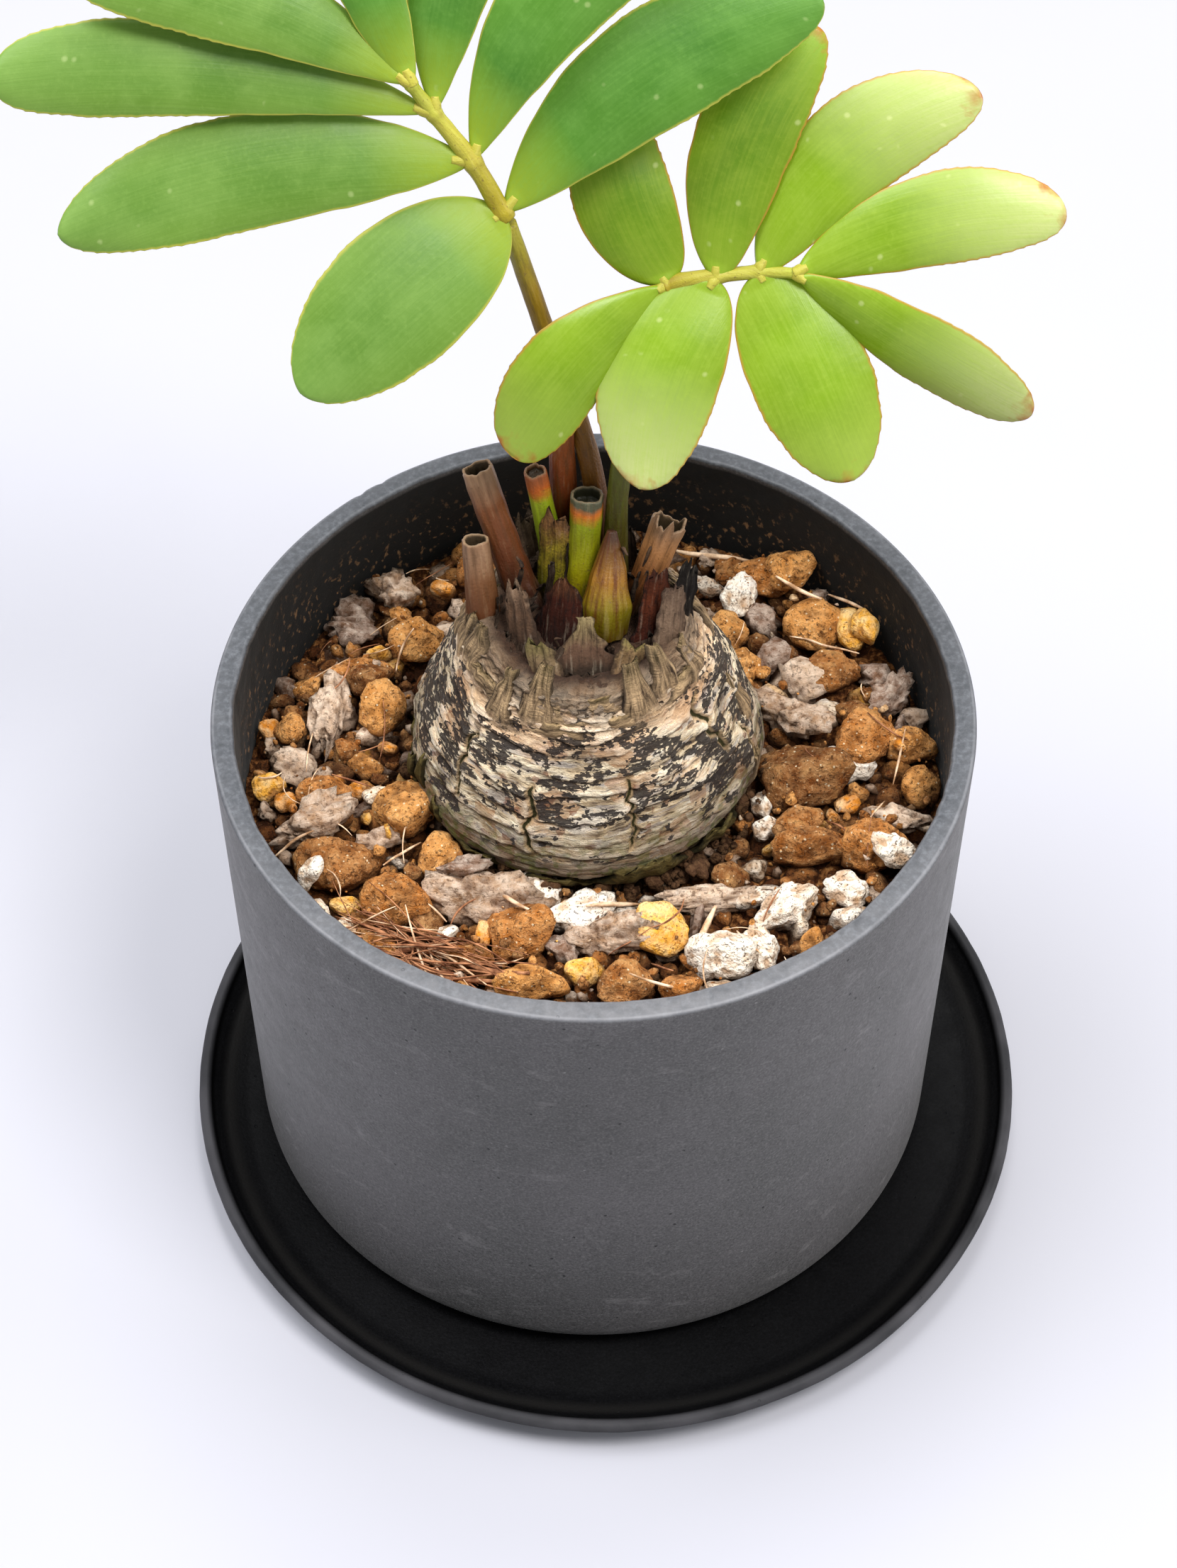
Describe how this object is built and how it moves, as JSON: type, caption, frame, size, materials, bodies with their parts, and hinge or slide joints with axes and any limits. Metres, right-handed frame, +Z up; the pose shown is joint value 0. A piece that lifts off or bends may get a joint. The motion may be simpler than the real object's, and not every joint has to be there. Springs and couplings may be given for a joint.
{
  "type": "potted cardboard palm",
  "caption": "Young cycad with a swollen trunk, feathered fronds and cut leaf stalks, in gritty soil in a charcoal cylinder pot on a round saucer.",
  "frame": {"origin": "on the ground under the middle of the pot, on the saucer's flat underside", "axes": "+Z up; -Y is the front, the side the fronds face; +X is to the viewer's right from the front"},
  "size_m": [0.1575, 0.1442, 0.2397],
  "materials": {
    "pot": "matte charcoal, fine grained, paler on the rim",
    "saucer": "satin charcoal",
    "soil": "dry grit of baked clay, pumice and bark",
    "bark": "ringed pale bark with dark patches",
    "stalk": "smooth olive brown stalk",
    "stub": "dry brown cut stalk",
    "green_stub": "waxy green cut stalk",
    "scale": "papery dry scale leaf",
    "leaf_green": "satin mid green leaf",
    "leaf_yellow": "glossy yellow green leaf"
  },
  "bodies": {
    "root": {"saucer": "saucer", "pot": "pot", "soil": "soil", "trunk": "bark", "stalk_a": "stalk", "stalk_b": "stalk", "stub_centre": "green_stub", "stub_tall": "stub", "stub_low": "stub", "stub_green": "green_stub", "stub_right": "stub", "stub_striped": "stub", "bud_scale": "green_stub", "scale_maroon": "scale", "scale_torn": "scale", "scale_front": "scale", "scale_left": "scale", "scale_left_front": "scale", "scale_right_front": "scale", "scale_right": "scale", "scale_striped": "scale", "scale_black": "scale", "scale_back_right": "scale", "scale_back": "scale", "scale_back_left": "scale", "frond_a": "leaf_green", "frond_b": "leaf_yellow"}
  },
  "joints": []
}
